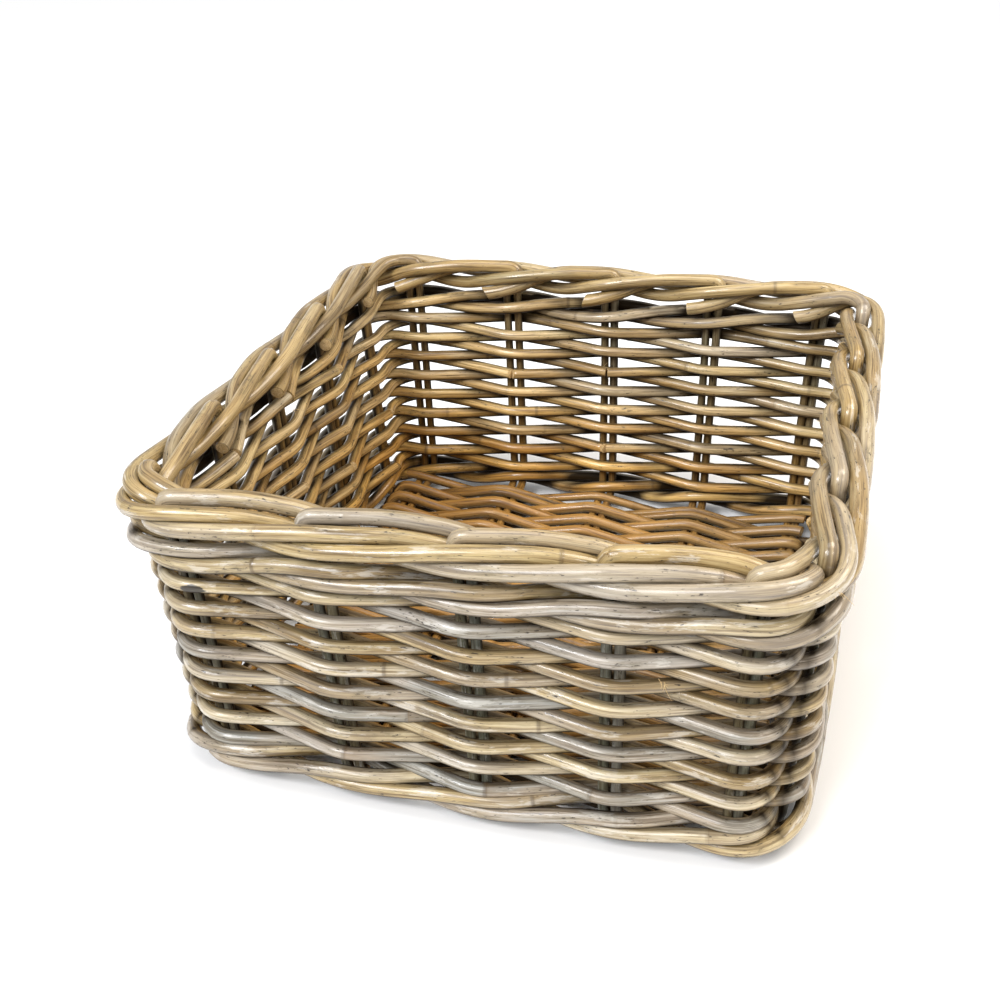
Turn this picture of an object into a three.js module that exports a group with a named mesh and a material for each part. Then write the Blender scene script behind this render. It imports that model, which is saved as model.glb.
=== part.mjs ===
// A square rattan basket: paired upright stakes that run through the floor from wall to wall,
// a floor woven on them, walls of two strands that chase each other round between a three-rod
// wale at the foot and another at the top, and a rolled border of thick rods round the rim.
// Millimetres, +Z up. The origin is under the middle of the basket, on the surface that it
// stands on, and the front wall faces -Y.
import * as THREE from 'three';

// Overall size, measured between the middles of opposite walls
const BASE_WIDTH = 336; // at the surface that the basket stands on
const RIM_WIDTH = 358.4; // at the rim height
const RIM_HEIGHT = 190; // height at which the rim width is measured
const BASE_BOW = 5; // how far a wall bows out in the middle, at the foot; the rim is straight
const BASE_CORNER = 23; // radius of the wall's middle line at a corner, at the foot
const RIM_CORNER = 27; // the same, at the rim height

// Cane
const STAKE_DIAMETER = 6; // thin upright cane, two to a pair
const STAKE_PAIR_GAP = 1.3; // between the two canes of a pair
const STAKE_BEND = 9; // radius of the bend from wall to floor
const WEAVER_DIAMETER = 7.6; // cane of the wall weave
const WALE_THICKER = 0.2; // how much thicker the rods of the two wales are than the weavers
const FLOOR_WEAVER_DIAMETER = 7.2; // cane of the floor weave
const BORDER_DIAMETER = 9.6; // thick cane of the rolled border

// How the canes lie against each other
const SEAT_GAP = 0.3; // between a cane and what it lies on
const PACKING_GAP = 0.1; // between strands that lie packed one on the other
const FLOOR_PACKING_GAP = 1; // least gap between neighbouring passes of a floor weaver
const PAIR_ROOM = 1.3; // extra swing of a strand that passes a pair of stakes in one bend
const FLOOR_ROOM = 1.4; // extra rise of a floor weaver that passes a pair in one bend
const BUTT_GAP = 3; // between two ends that meet behind a stake
const WALE_FOOT = 5.5; // height of the underside of the lower wale
const WALE_BEHIND_RISE = 1.4; // lift of the lower wale over the bent stakes, inside
const WALE_ROOM = 1.7; // extra swing of a wale's rods in front, where they pass each other
const FIELD_FOOT_GAP = 1.1; // between the lower wale and the first row
const TURN_ROOM = 1.1; // extra reach of a floor weaver that turns round the outer stake
const FLOOR_STUB = 1.5; // floor weaver's cut end, past the outer stake

// Counts
const PAIRS_PER_SIDE = 5;
const FIELD_ROWS = 8;
const STRANDS = 2; // one on top of the other in each row
const ROUNDS_PER_WEAVER = 2;
const WALE_RODS = 3; // each takes three pairs to a stroke
const CANE_SIDES = 5; // faces round a cane

// Finishes
const STAKE_FINISH = { color: 0x6f6a52, roughness: 0.55, metalness: 0 };
const WEAVER_FINISH = { color: 0xa8946f, roughness: 0.42, metalness: 0 };
const WALE_FINISH = { color: 0xb5a589, roughness: 0.42, metalness: 0 };
const FLOOR_FINISH = { color: 0x9a7d4e, roughness: 0.48, metalness: 0 };
const BORDER_FINISH = { color: 0xb3a07c, roughness: 0.38, metalness: 0 };

// Worked out from the sizes above
const PAIRS = 4 * PAIRS_PER_SIDE;
const LAST_PAIR = (PAIRS_PER_SIDE - 1) / 2; // number of the pair nearest a corner, from the middle
const stakeRadius = STAKE_DIAMETER / 2;
const weaverRadius = WEAVER_DIAMETER / 2;
const waleDiameter = WEAVER_DIAMETER + WALE_THICKER;
const waleRadius = waleDiameter / 2;
const floorWeaverRadius = FLOOR_WEAVER_DIAMETER / 2;
const flatShare = Math.cos(Math.PI / CANE_SIDES); // middle of a face, as a share of the radius
const halfShare = 1 / 2;
const halfPair = (STAKE_DIAMETER + STAKE_PAIR_GAP) / 2; // pair's middle to a cane's middle
const strandStep = WEAVER_DIAMETER + PACKING_GAP;
const seat = stakeRadius + SEAT_GAP + PAIR_ROOM; // wall's middle to the face of a passing cane
const swing = seat + weaverRadius; // wall's middle to a strand's
const waleSwing = seat + waleRadius;
const rowStep = STRANDS * strandStep;
const waleStep = waleDiameter + SEAT_GAP + PACKING_GAP;

// Heights, from the ground up
const sideStakeLevel = stakeRadius * flatShare;
const floorUnderLevel = floorWeaverRadius * flatShare;
const crossStakeLevel = floorUnderLevel + floorWeaverRadius + FLOOR_ROOM + stakeRadius * flatShare;
const floorOverLevel = crossStakeLevel + stakeRadius + FLOOR_ROOM + floorWeaverRadius * flatShare;
const sideStakeOverLevel = crossStakeLevel + stakeRadius + FLOOR_ROOM + stakeRadius * flatShare;
const fieldFoot = WALE_FOOT + 2 * waleStep + FIELD_FOOT_GAP;
const topWaleFoot = fieldFoot + FIELD_ROWS * rowStep;
const borderFoot = topWaleFoot + 2 * waleStep;

// One rod of the border, in rod spacings. It starts on top of its pair of stakes, rolls over
// inside the next pair, comes out low between that pair and the one after, climbs outside past
// two pairs, dives under a later rod's start and ends inside, past the fourth pair.
const borderSpacing = BORDER_DIAMETER + PACKING_GAP;
const BORDER_ROUTE_SHARES = [
  { along: -0.06, out: 0, up: 2.33 },
  { along: 0.5, out: -0.83, up: 2.48 },
  { along: 1, out: -1.16, up: 1.9 },
  { along: 1.5, out: 0.08, up: 0.5 },
  { along: 2, out: 1.18, up: 0.57 },
  { along: 2.5, out: 1.13, up: 1.11 },
  { along: 3, out: 1.13, up: 1.71 },
  { along: 3.5, out: 0.05, up: 1.87 },
  { along: 4, out: -1.15, up: 0.51 },
  { along: 4.22, out: -1.19, up: 0.5 },
];
const stakeTop = borderFoot + borderSpacing * BORDER_ROUTE_SHARES[0].up
  - BORDER_DIAMETER / 2 - SEAT_GAP;

// The walls lean out evenly, so every width is a straight line in height.
function widening(atBase, atRim, z) {
  return atBase + (atRim - atBase) * z / RIM_HEIGHT;
}
function halfWidth(z) {
  return widening(BASE_WIDTH, RIM_WIDTH, z) / 2;
}
function cornerRadius(z) {
  return widening(BASE_CORNER, RIM_CORNER, z);
}
function pairPitch(z) {
  return (halfWidth(z) - cornerRadius(z)) / LAST_PAIR;
}
function bowAt(pair, z) {
  return BASE_BOW * (1 - z / RIM_HEIGHT) * (1 - (pair / LAST_PAIR) ** 2);
}

// A place in the wall. Pairs are numbered anticlockwise from the middle of the right wall, and
// "along" counts in pairs, so the corners lie between pairs 2 and 3, 7 and 8, and so on.
// "out" is the distance from the wall's middle line.
function wallPoint(along, out, z) {
  const side = Math.floor((along + LAST_PAIR) / PAIRS_PER_SIDE);
  const across = along - side * PAIRS_PER_SIDE;
  const face = halfWidth(z) + bowAt(across, z) + out;
  const point = new THREE.Vector3(face, across * pairPitch(z), z);
  if (across > LAST_PAIR) {
    const turn = (across - LAST_PAIR) * Math.PI / 2;
    const radius = cornerRadius(z) + out;
    const centre = LAST_PAIR * pairPitch(z);
    point.set(centre + radius * Math.cos(turn), centre + radius * Math.sin(turn), z);
  }
  return point.applyAxisAngle(new THREE.Vector3(0, 0, 1), side * Math.PI / 2);
}

function inCorner(along) {
  const across = (along + LAST_PAIR) % PAIRS_PER_SIDE;
  return across > PAIRS_PER_SIDE - 1;
}

// A cane: rings of points along its middle line, joined into one closed body. "floorward" is the
// direction in which a bent stake crosses the floor; other canes take theirs from each step.
function caneGeometry(middle, diameter, floorward) {
  const positions = [];
  const indices = [];
  const up = new THREE.Vector3(0, 0, 1);
  middle.forEach((point, i) => {
    const before = middle[Math.max(i - 1, 0)];
    const after = middle[Math.min(i + 1, middle.length - 1)];
    const ahead = after.clone().sub(point).normalize();
    const behind = point.clone().sub(before).normalize();
    const tangent = ahead.add(behind).normalize();
    const sideways = up.clone().cross(floorward || tangent).normalize();
    const upward = tangent.clone().cross(sideways).normalize();
    for (let j = 0; j < CANE_SIDES; j++) {
      const angle = Math.PI / 2 + j * 2 * Math.PI / CANE_SIDES;
      const corner = point.clone();
      corner.addScaledVector(sideways, diameter / 2 * Math.cos(angle));
      corner.addScaledVector(upward, diameter / 2 * Math.sin(angle));
      positions.push(corner.x, corner.y, corner.z);
    }
  });
  const last = (middle.length - 1) * CANE_SIDES;
  for (let ring = 0; ring < last; ring += CANE_SIDES) {
    for (let j = 0; j < CANE_SIDES; j++) {
      const here = ring + j;
      const next = ring + (j + 1) % CANE_SIDES;
      indices.push(here, next, here + CANE_SIDES);
      indices.push(next, next + CANE_SIDES, here + CANE_SIDES);
    }
  }
  for (let j = 1; j < CANE_SIDES - 1; j++) {
    indices.push(0, j + 1, j);
    indices.push(last, last + j, last + j + 1);
  }
  const geometry = new THREE.BufferGeometry();
  geometry.setAttribute('position', new THREE.Float32BufferAttribute(positions, 3));
  geometry.setIndex(indices);
  geometry.computeVertexNormals();
  return geometry;
}

function cane(name, geometry, finish) {
  const mesh = new THREE.Mesh(geometry, new THREE.MeshStandardMaterial(finish));
  mesh.name = name;
  return mesh;
}

// The places along the wall where a cane has a ring: its stations, and at the corners every
// quarter of a space. A thin strand cuts straight across there where it lies inside the wall.
const CORNER_SHARE = 0.25;
function routeAlong(start, end, stationShare, placeAt, cutsAcross) {
  const places = [start];
  const first = Math.ceil(start / CORNER_SHARE) * CORNER_SHARE;
  for (let along = first; along < end; along += CORNER_SHARE) {
    const place = placeAt(along);
    const station = along % stationShare === 0 && !place.straight;
    const rounding = inCorner(along) && !(cutsAcross && place.out < -stakeRadius);
    if (along > start && (station || rounding)) {
      places.push(along);
    }
  }
  places.push(end);
  return places.map((along) => {
    const place = placeAt(along);
    return wallPoint(along, place.out, place.z);
  });
}

// Half a butt gap, counted in pairs
const buttShare = BUTT_GAP / 2 / pairPitch(fieldFoot);

// Stakes. One goes down a wall, bends, crosses the floor and goes up the opposite wall. The pairs
// from front to back cross straight at one level. The side pairs are woven through them: over
// every second one and under the others.
const BEND_STEPS = 2;
function stakeMiddle(pair, offset, level, overLevel) {
  const half = [];
  const bendTop = level + STAKE_BEND;
  half.push([halfWidth(stakeTop) + bowAt(pair, stakeTop), pair * pairPitch(stakeTop), stakeTop]);
  for (let i = 0; i <= BEND_STEPS; i++) {
    const angle = i / BEND_STEPS * Math.PI / 2;
    const wall = halfWidth(bendTop) + bowAt(pair, bendTop) - STAKE_BEND * (1 - Math.cos(angle));
    half.push([wall, pair * pairPitch(bendTop), bendTop - STAKE_BEND * Math.sin(angle)]);
  }
  const front = half.map(([out, across, z]) => new THREE.Vector3(across + offset, -out, z));
  const back = half.map(([out, across, z]) => new THREE.Vector3(across + offset, out, z));
  const crossing = [];
  if (overLevel !== level) {
    const across = pair * pairPitch(bendTop) + offset;
    for (let met = -LAST_PAIR; met <= LAST_PAIR; met++) {
      const z = Math.abs(met) % 2 === 1 ? overLevel : level;
      const middle = met * pairPitch(crossStakeLevel);
      crossing.push(new THREE.Vector3(across, middle - halfPair, z));
      crossing.push(new THREE.Vector3(across, middle + halfPair, z));
    }
  }
  return [...front, ...crossing, ...back.reverse()];
}

function stakeSet(prefix, level, overLevel) {
  const set = new THREE.Group();
  const floorward = new THREE.Vector3(0, 1, 0);
  for (let pair = -LAST_PAIR; pair <= LAST_PAIR; pair++) {
    [-halfPair, halfPair].forEach((offset, i) => {
      const middle = stakeMiddle(pair, offset, level, overLevel);
      const geometry = caneGeometry(middle, STAKE_DIAMETER, floorward);
      const number = 2 * (pair + LAST_PAIR) + i + 1;
      set.add(cane(`${prefix}_${number}`, geometry, STAKE_FINISH));
    });
  }
  return set;
}

// Floor weavers: each fills the space between two neighbouring pairs of side stakes, passing
// over and under the pairs that run from front to back, and turning round the outer ones.
function floorWeaverMiddle() {
  const pitch = pairPitch(crossStakeLevel);
  const bay = pitch - 2 * (halfPair + stakeRadius);
  const passes = Math.floor(bay / (FLOOR_WEAVER_DIAMETER + FLOOR_PACKING_GAP));
  const outer = LAST_PAIR * pitch + halfPair;
  const reach = stakeRadius + floorWeaverRadius + SEAT_GAP;
  const bulge = reach + TURN_ROOM;
  const stub = outer + stakeRadius + FLOOR_STUB;
  const shoulderShare = 0.42;
  const middle = [];
  for (let pass = 0; pass < passes; pass++) {
    const lane = ((pass + 0.5) / passes - 0.5) * bay;
    const nextLane = lane + bay / passes;
    const travel = pass % 2 === 0 ? 1 : -1;
    const levelAt = (pair) => ((pair + pass) % 2 === 0 ? floorOverLevel : floorUnderLevel);
    if (pass === 0) {
      middle.push(new THREE.Vector3(-stub, lane, levelAt(-LAST_PAIR)));
    }
    for (let i = 0; i < PAIRS_PER_SIDE; i++) {
      const pair = travel * (i - LAST_PAIR);
      middle.push(new THREE.Vector3(pair * pitch, lane, levelAt(pair)));
    }
    const level = levelAt(travel * LAST_PAIR);
    if (pass === passes - 1) {
      middle.push(new THREE.Vector3(travel * stub, lane, level));
    } else {
      const shoulder = travel * (outer + shoulderShare * reach);
      const other = floorOverLevel + floorUnderLevel - level;
      middle.push(new THREE.Vector3(shoulder, lane, level));
      middle.push(new THREE.Vector3(travel * (outer + bulge), (lane + nextLane) / 2,
        crossStakeLevel));
      middle.push(new THREE.Vector3(shoulder, nextLane, other));
    }
  }
  return middle;
}

function floorWeave() {
  const weave = new THREE.Group();
  const geometry = caneGeometry(floorWeaverMiddle(), FLOOR_WEAVER_DIAMETER);
  for (let bay = 0; bay < PAIRS_PER_SIDE - 1; bay++) {
    const weaver = cane(`floor_weaver_${bay + 1}`, geometry, FLOOR_FINISH);
    weaver.position.y = (bay + 0.5 - LAST_PAIR) * pairPitch(crossStakeLevel);
    weave.add(weaver);
  }
  return weave;
}

// A three-rod wale: each rod goes in front of two pairs and behind one. It comes out below the
// others and goes in above them, and it runs straight between the two pairs that it passes in
// front. Each rod ends where another begins, behind a pair.
function waleWeave(prefix, foot, behindRise) {
  const low = foot + waleStep / 2;
  const high = low + waleStep;
  const behind = (low + high) / 2 + behindRise;
  const front = waleSwing + WALE_ROOM;
  const quarterShare = 0.8;
  const liftShare = 0.8;
  const crossing = Math.max(high, behind);
  const stations = [
    { at: 0, out: -waleSwing, z: behind },
    { at: 0.25, out: -waleSwing * quarterShare, z: low + (behind - low) * liftShare },
    { at: 0.5, out: 0, z: low },
    { at: 0.75, out: front * quarterShare, z: low },
    { at: 1, out: front, z: low },
    { at: 1.25, out: front, z: low },
    { at: 1.75, out: front, z: high },
    { at: 2, out: front, z: high },
    { at: 2.25, out: front * quarterShare, z: high },
    { at: 2.5, out: 0, z: crossing },
    { at: 2.75, out: -waleSwing * quarterShare, z: crossing },
    { at: 3, out: -waleSwing, z: behind },
  ];
  const ends = [PAIRS + 1, PAIRS + 2, PAIRS];
  const wale = new THREE.Group();
  for (let rod = 0; rod < WALE_RODS; rod++) {
    const placeAt = (along) => {
      const at = (along - rod + WALE_RODS) % WALE_RODS;
      const next = stations.findIndex((station) => station.at > at);
      const a = stations[next - 1];
      const b = stations[next];
      const share = (at - a.at) / (b.at - a.at);
      return {
        out: a.out + (b.out - a.out) * share,
        z: a.z + (b.z - a.z) * share,
        straight: at === 1.5,
      };
    };
    const route = routeAlong(rod + buttShare, ends[rod] - buttShare, halfShare, placeAt, false);
    wale.add(cane(`${prefix}_${rod + 1}`, caneGeometry(route, waleDiameter), WALE_FINISH));
  }
  return wale;
}

// The wall: two strands chase each other round, one on top of the other. Each goes in front of a
// pair and behind the next, and where one is in front the other is behind. Every cane starts and
// ends behind a pair, and the rows climb one step in the last space of each round. A strand's
// last stroke would need one more step, so it ends one stroke earlier.
function fieldWeave() {
  const field = new THREE.Group();
  const end = PAIRS * FIELD_ROWS;
  const weaverRun = PAIRS * ROUNDS_PER_WEAVER;
  ['a', 'b'].forEach((letter, first) => {
    const placeAt = (along) => {
      const round = Math.floor(along / PAIRS);
      const climb = Math.max(along - round * PAIRS - (PAIRS - 1), 0);
      return {
        out: -swing * Math.cos(Math.PI * (along - first)),
        z: fieldFoot + strandStep * (first + halfShare) + rowStep * (round + climb),
      };
    };
    for (let weaver = 0; weaver * weaverRun < end; weaver++) {
      const start = first + weaver * weaverRun;
      const stop = Math.min(start + weaverRun, first + end - STRANDS);
      const route = routeAlong(start + buttShare, stop - buttShare, 1, placeAt, true);
      const name = `wall_weaver_${letter}${weaver + 1}`;
      field.add(cane(name, caneGeometry(route, WEAVER_DIAMETER), WEAVER_FINISH));
    }
  });
  return field;
}

// Rolled border: the same five rods on each side of the basket
function borderPlace(along, start) {
  const at = along - start;
  const shares = BORDER_ROUTE_SHARES;
  const found = shares.findIndex((station) => station.along > at);
  const next = found < 0 ? shares.length - 1 : Math.max(found, 1);
  const a = shares[next - 1];
  const b = shares[next];
  const share = (at - a.along) / (b.along - a.along);
  return {
    out: borderSpacing * (a.out + (b.out - a.out) * share),
    z: borderFoot + borderSpacing * (a.up + (b.up - a.up) * share),
  };
}

function border() {
  const rim = new THREE.Group();
  const first = BORDER_ROUTE_SHARES[0].along;
  const last = BORDER_ROUTE_SHARES[BORDER_ROUTE_SHARES.length - 1].along;
  for (let side = 0; side < 4; side++) {
    const sideGroup = new THREE.Group();
    sideGroup.rotation.z = side * Math.PI / 2;
    for (let rod = 0; rod < PAIRS_PER_SIDE; rod++) {
      const start = rod - LAST_PAIR;
      const placeAt = (along) => borderPlace(along, start);
      const route = routeAlong(start + first, start + last, halfShare, placeAt, false);
      const number = side * PAIRS_PER_SIDE + rod + 1;
      const geometry = caneGeometry(route, BORDER_DIAMETER);
      sideGroup.add(cane(`border_rod_${number}`, geometry, BORDER_FINISH));
    }
    rim.add(sideGroup);
  }
  return rim;
}

const basket = new THREE.Group();
basket.add(stakeSet('cross_stake', crossStakeLevel, crossStakeLevel));
const sideStakes = stakeSet('side_stake', sideStakeLevel, sideStakeOverLevel);
sideStakes.rotation.z = Math.PI / 2;
basket.add(sideStakes);
basket.add(floorWeave());
basket.add(waleWeave('lower_wale_rod', WALE_FOOT, WALE_BEHIND_RISE + waleStep / 2));
basket.add(fieldWeave());
basket.add(waleWeave('top_wale_rod', topWaleFoot, 0));
basket.add(border());

export default basket;
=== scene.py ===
# %% [markdown]
# # A square rattan basket, cane by cane
#
# A rattan basket has no panels. It is some sixty long canes that bend round each other: pairs of
# thin upright stakes that run through the floor, two strands that chase each other round the
# walls, three rods that bind the wall's foot and top, and twenty thick rods that roll over one
# another as a rim. A panel with a picture of weave on it would look right from far away only, so
# every cane is made as a body of its own here, along the path that it takes in the weave.
#
# The cells below go from the measures to the path of each kind of cane, then to its skin, and end
# with the floor, the light and the camera. Lengths are in millimetres until a mesh is made.

import math

import bpy
import numpy as np
from mathutils import Matrix, Vector


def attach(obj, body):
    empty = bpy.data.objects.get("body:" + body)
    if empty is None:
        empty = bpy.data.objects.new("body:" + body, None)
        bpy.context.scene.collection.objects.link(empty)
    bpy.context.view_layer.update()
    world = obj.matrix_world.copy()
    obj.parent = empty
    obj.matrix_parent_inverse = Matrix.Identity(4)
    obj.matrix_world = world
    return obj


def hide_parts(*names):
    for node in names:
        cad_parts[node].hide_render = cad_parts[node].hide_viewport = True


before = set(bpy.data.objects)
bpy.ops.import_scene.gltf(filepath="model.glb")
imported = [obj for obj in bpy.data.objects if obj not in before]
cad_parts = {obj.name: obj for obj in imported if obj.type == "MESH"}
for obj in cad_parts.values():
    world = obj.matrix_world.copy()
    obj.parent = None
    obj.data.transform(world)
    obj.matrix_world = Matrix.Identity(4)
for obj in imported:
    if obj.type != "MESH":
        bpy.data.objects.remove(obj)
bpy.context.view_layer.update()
bpy.ops.object.select_all(action="DESELECT")

# %% [markdown]
# ## Measures
#
# The walls lean out a little, their corners are round, and at the foot they bow out in the middle.
# All of that changes evenly with height, so a place in a wall needs only three numbers: how far
# along it is, counted in pairs of stakes, how far it stands out from the wall's middle line, and
# how high it is. Every cane of the walls and of the rim is drawn with those three numbers.

# %% Sizes of the basket
METRES = 0.001
BASE_WIDTH = 336.0  # between the middles of opposite walls, on the ground
RIM_WIDTH = 358.4  # the same, at the rim height
RIM_HEIGHT = 190.0
BASE_BOW = 5.0  # how far the middle of a wall bows out at the foot
BASE_CORNER = 23.0  # radius of the wall's middle line in a corner, on the ground
RIM_CORNER = 27.0
PAIRS_PER_SIDE = 5
PAIRS = 4 * PAIRS_PER_SIDE
LAST_PAIR = (PAIRS_PER_SIDE - 1) / 2
print("Pairs of stakes:", PAIRS)

# %% [markdown]
# From the ground up a wall is a wale, a field of strands, a second wale and the border. Each of
# them starts on top of the one below, so the heights are added up from the steps between canes.

# %% Heights in the wall
WALE_FOOT = 5.5
FIELD_FOOT = 23.0
FIELD_ROWS = 8
STRANDS = 2
STRAND_STEP = 7.7  # from one strand of the wall to the next, where they lie packed
WALE_STEP = 8.2
ROW_STEP = STRANDS * STRAND_STEP
TOP_WALE_FOOT = FIELD_FOOT + FIELD_ROWS * ROW_STEP
BORDER_FOOT = TOP_WALE_FOOT + 2 * WALE_STEP
print("Field from", round(FIELD_FOOT, 1), "to", round(TOP_WALE_FOOT, 1))
print("Border from", round(BORDER_FOOT, 1))

# %% [markdown]
# A basket is made by hand, so no pair of stakes stands quite where it should, and the rows sag or
# rise a little from pair to pair. One list of drifts and one of rises, a number for each pair,
# move everything that passes that pair, so that the canes stay in touch.

# %% Drifts and rises of the pairs
dice = np.random.default_rng(41)
MOST_DRIFT = 2.0  # along the wall, anticlockwise
MOST_RISE = 0.8
FRONT = slice(13, 18)  # the pairs of the front wall, from left to right
BACK = slice(3, 8)  # those of the back wall, from right to left
pair_drift = dice.uniform(-MOST_DRIFT, MOST_DRIFT, PAIRS)
pair_drift[FRONT] = (0.0, 4.5, 8.5, 7.5, 0.0)  # the middle of the front wall leans to the right
pair_drift[BACK] = (0.0, -1.0, -3.0, -5.5, -5.0)
row_rise = dice.uniform(-MOST_RISE, MOST_RISE, PAIRS)
row_rise[FRONT] = (1.5, -1.6, -1.4, 0.4, 3.0)
row_rise[BACK] = (2.0, 2.4, 2.6, 2.2, 2.4)
pair_numbers = np.arange(PAIRS)
print("Drift of the pairs, mm:", pair_drift.round(1))

# %% [markdown]
# A place in the wall is found in one straight side first, as if the basket had only the right
# wall, and is then turned round to its own side. Past the last pair of a side lies its corner.

# %% A place in the wall
def half_width(z):
    return (BASE_WIDTH + (RIM_WIDTH - BASE_WIDTH) * z / RIM_HEIGHT) / 2


def corner_radius(z):
    return BASE_CORNER + (RIM_CORNER - BASE_CORNER) * z / RIM_HEIGHT


def pair_pitch(z):
    return (half_width(z) - corner_radius(z)) / LAST_PAIR


def bow_at(across, z):
    return BASE_BOW * (1 - z / RIM_HEIGHT) * np.clip(1 - (across / LAST_PAIR) ** 2, 0, 1)


def wall_place(along, out, z):
    """Points in the wall. Pair 0 is in the middle of the right wall; they count anticlockwise."""
    z = z + np.interp(along, pair_numbers, row_rise, period=PAIRS) * np.sin(np.pi * z / RIM_HEIGHT)
    along = along + np.interp(along, pair_numbers, pair_drift, period=PAIRS) / pair_pitch(z)
    side = np.floor((along + LAST_PAIR) / PAIRS_PER_SIDE)
    across = along - side * PAIRS_PER_SIDE
    turn = np.clip(across - LAST_PAIR, 0, 1) * math.pi / 2
    turning = across > LAST_PAIR
    centre = LAST_PAIR * pair_pitch(z)
    radius = corner_radius(z) + out
    face = half_width(z) + bow_at(across, z) + out
    x = np.where(turning, centre + radius * np.cos(turn), face)
    y = np.where(turning, centre + radius * np.sin(turn), across * pair_pitch(z))
    heading = side * math.pi / 2
    east = x * np.cos(heading) - y * np.sin(heading)
    north = x * np.sin(heading) + y * np.cos(heading)
    return np.stack([east, north, z], -1)


print("Front middle pair at the rim:", wall_place(15.0, 0.0, np.array(180.0)).round(1))

# %% [markdown]
# ## From a bent line to a path
#
# A cane keeps straight until something bends it, and then it bends in a short curve. So a path is
# first a line with corners, at the places where the cane meets a stake, and an average over a few
# millimetres on both sides then rounds those corners.

# %% Smoothing and slow chance along a path
SMOOTH_STEP = 1.0


def lengths_along(points):
    steps = np.linalg.norm(np.diff(points, axis=0), axis=1)
    return np.concatenate([[0.0], np.cumsum(steps)])


def resampled(points, spacing):
    run = lengths_along(points)
    count = max(int(round(run[-1] / spacing)), 2)
    places = np.linspace(0, run[-1], count + 1)
    return np.stack([np.interp(places, run, points[:, axis]) for axis in range(3)], -1)


def rounded(points, reach):
    """The line with its corners rounded over reach millimetres to each side, its ends kept."""
    even = resampled(points, SMOOTH_STEP)
    half = min(max(int(reach / SMOOTH_STEP), 1), len(even) - 1)
    before = 2 * even[0] - even[half:0:-1]
    after = 2 * even[-1] - even[-2:-half - 2:-1]
    padded = np.concatenate([before, even, after])
    window = np.ones(2 * half + 1) / (2 * half + 1)
    return np.stack([np.convolve(padded[:, axis], window, mode="valid") for axis in range(3)], -1)


def slow_noise(run, wavelength):
    """A smooth random line between about -1 and 1 along a cane."""
    values = dice.uniform(-1, 1, int(run[-1] / wavelength) + 4)
    place = run / wavelength
    first = place.astype(int)
    share = place - first
    ease = share * share * (3 - 2 * share)
    return values[first] * (1 - ease) + values[first + 1] * ease


# %% [markdown]
# ## The body of one cane
#
# Rattan is a climbing palm. Its stem has a ring every hand's breadth or so, where a leaf sheath
# grew: the cane swells a little there, and a thin dark line runs round it, with a stain on one
# side. Its section is never quite round, and its thickness wanders. So each cane gets a list of
# places along it, closer together at the growth rings, with a thickness at each.

# %% What chance does to a cane
RING_EVERY = 190.0  # usual distance between two growth rings
RING_REACH = 3.4  # how far a growth ring swells the cane to each side
RING_SWELL = 0.05
RING_LINE = 1.1  # half width of the dark line
STAIN_LENGTH = 16.0
RING_STEPS = np.array([-3.4, -1.5, -0.6, 0.0, 0.6, 1.5, 3.4])
ROUGH_WAVES = ((95.0, 0.028), (26.0, 0.012), (9.0, 0.006))  # wavelength and share of thickness
TONE_WAVES = ((210, 0.13), (60, 0.05))  # wavelength and share of the range of tones
SHADE_WAVE = 140
OVAL_WAVE, OVAL_MOST = 60, 0.03
SKIN_SHIFT = 0.09  # in metres: moves a cane's patterns, so that no two canes look the same
SHIFT_ALONG = 30  # how many times further they are moved along the cane than across it
CUT_ROOM = 2.0  # no growth ring is drawn this close to a cut end


def growth_rings(length):
    places = [dice.uniform(0, RING_EVERY)]
    while places[-1] < length:
        places.append(places[-1] + RING_EVERY * dice.uniform(0.55, 1.6))
    return np.array(places)


def stations_along(length, spacing, rings):
    """Evenly spaced places, with closer ones where a growth ring needs them."""
    even = np.linspace(0, length, max(int(round(length / spacing)), 2) + 1)
    extra = (rings[:, None] + RING_STEPS[None, :]).ravel()
    extra = extra[(extra > CUT_ROOM) & (extra < length - CUT_ROOM)]
    near = np.abs(even[:, None] - rings[None, :]).min(1) < RING_REACH + 0.4
    near[0] = near[-1] = False
    return np.sort(np.concatenate([even[~near], extra]))


# %% [markdown]
# The plan of a cane holds everything that its mesh and its finish need: where its rings of points
# go, how thick and how oval it is there, how its ends are cut, and four values for the colour,
# kept together as `mark`. They are its tone, the line of a growth ring, the stain past it, and how
# much grey film it has.

# %% Plan one cane
def cane(points, diameter, spacing, tone, slants=(0.2, 0.2)):
    run = lengths_along(points)
    rings = growth_rings(run[-1])
    at = stations_along(run[-1], spacing, rings)
    middle = np.stack([np.interp(at, run, points[:, axis]) for axis in range(3)], -1)
    past = at[:, None] - rings[None, :]
    gap = np.abs(past).min(1)
    stain = np.where(past > 0, np.exp(-past / STAIN_LENGTH), 0).max(1) * dice.uniform(0.1, 1)
    radius = np.full(len(at), diameter / 2)
    for wavelength, share in ROUGH_WAVES:
        radius = radius * (1 + share * slow_noise(at, wavelength))
    radius *= 1 + RING_SWELL * dice.uniform(0.5, 1.2) * np.clip(1 - gap / RING_REACH, 0, 1) ** 2
    for wavelength, share in TONE_WAVES:
        tone = tone + share * slow_noise(at, wavelength)
    line = np.clip(1.6 - gap / RING_LINE, 0, 1) * dice.uniform(0.1, 0.9)
    film = 0.5 + 0.5 * slow_noise(at, SHADE_WAVE)
    return {
        "at": at, "middle": middle, "radius": radius, "slants": slants,
        "oval": OVAL_MOST * slow_noise(at, OVAL_WAVE),
        "offset": dice.uniform(-SKIN_SHIFT, SKIN_SHIFT, 3) * (SHIFT_ALONG, 1, 1),
        "mark": np.stack([np.clip(tone, 0, 1), line, stain, np.clip(film, 0, 1)], -1),
    }


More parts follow.
